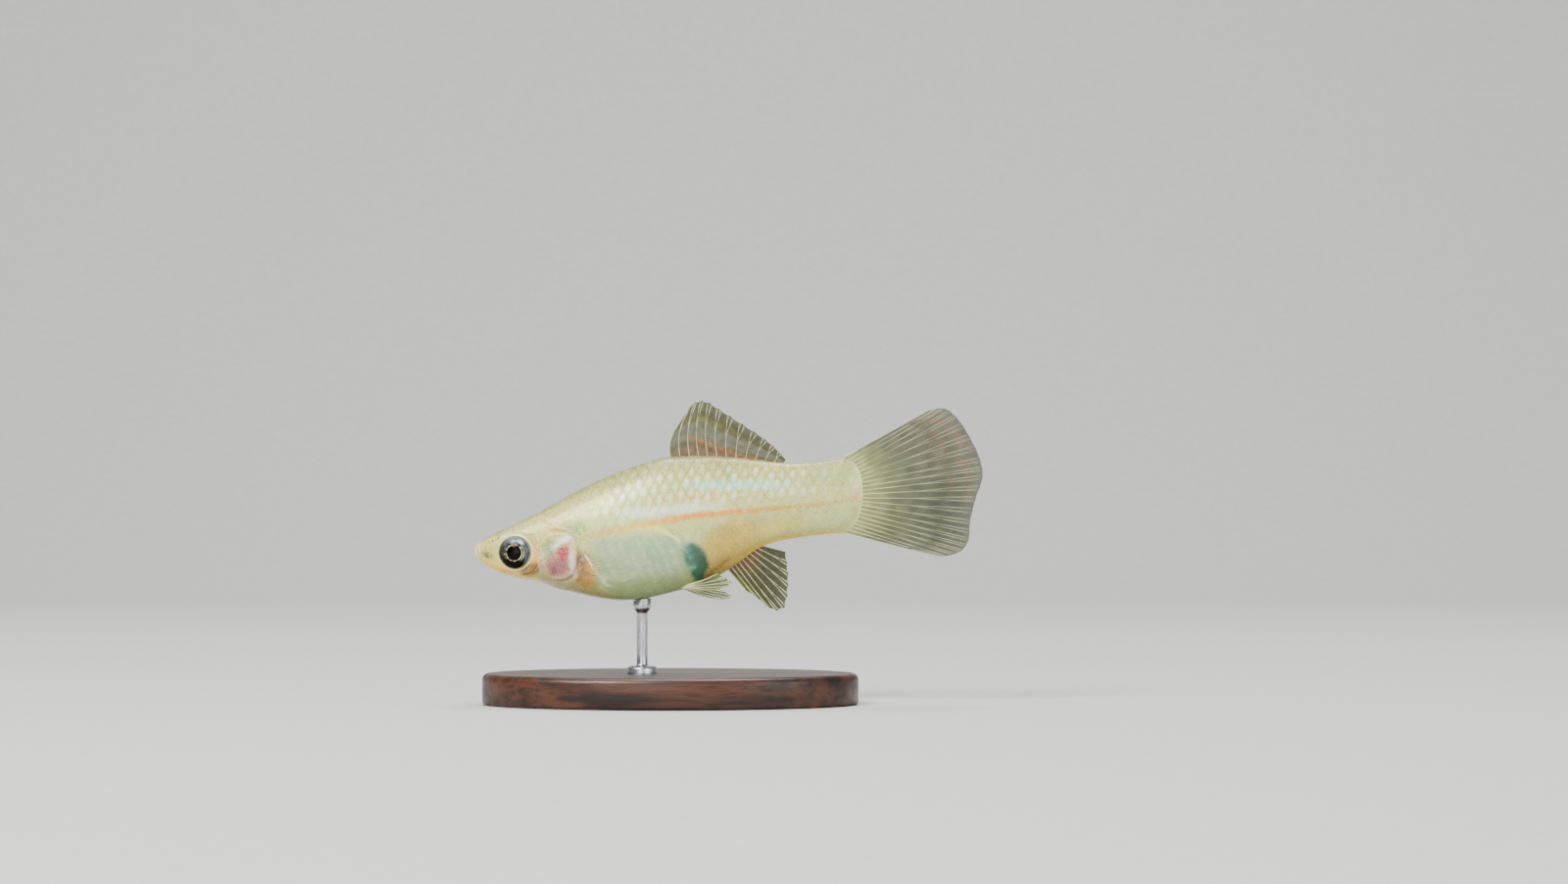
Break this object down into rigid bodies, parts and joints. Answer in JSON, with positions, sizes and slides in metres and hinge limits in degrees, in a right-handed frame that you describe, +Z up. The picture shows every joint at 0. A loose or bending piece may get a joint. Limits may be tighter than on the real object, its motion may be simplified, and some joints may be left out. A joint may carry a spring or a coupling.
{
  "type": "swordtail fish, adult female, as a life-size display model on a stand",
  "caption": "Female swordtail, a slim deep-bellied livebearing fish with a fan-shaped tail and a high back fin, swimming nose low, held by a rod over an oval base.",
  "frame": {"origin": "centre of the stand base's underside, on the surface that it stands on", "axes": "+Z up, +X from the fish's head towards its tail along the base's long side, -Y towards the fish's left side"},
  "size_m": [0.0649, 0.027, 0.0388],
  "materials": {
    "skin": "moist scaly fish skin, olive cream with an orange side stripe",
    "gill_cover": "moist skin over bone, cream and pink-red",
    "eye": "wet, clear and glossy",
    "fin": "thin translucent grey-olive membrane on pale rays",
    "stand_wood": "dark satin varnish",
    "stand_steel": "fine brushed"
  },
  "bodies": {
    "root": {"head": "skin", "lower_jaw": "skin", "trunk": "skin", "tail_stalk": "skin", "gill_cover_left": "gill_cover", "gill_cover_right": "gill_cover", "eye_left": "eye", "eye_right": "eye", "dorsal_fin": "fin", "anal_fin": "fin", "tail_fin": "fin", "pectoral_fin_left": "fin", "pectoral_fin_right": "fin", "pelvic_fin_left": "fin", "pelvic_fin_right": "fin", "stand_base": "stand_wood", "stand_rod": "stand_steel"}
  },
  "joints": []
}
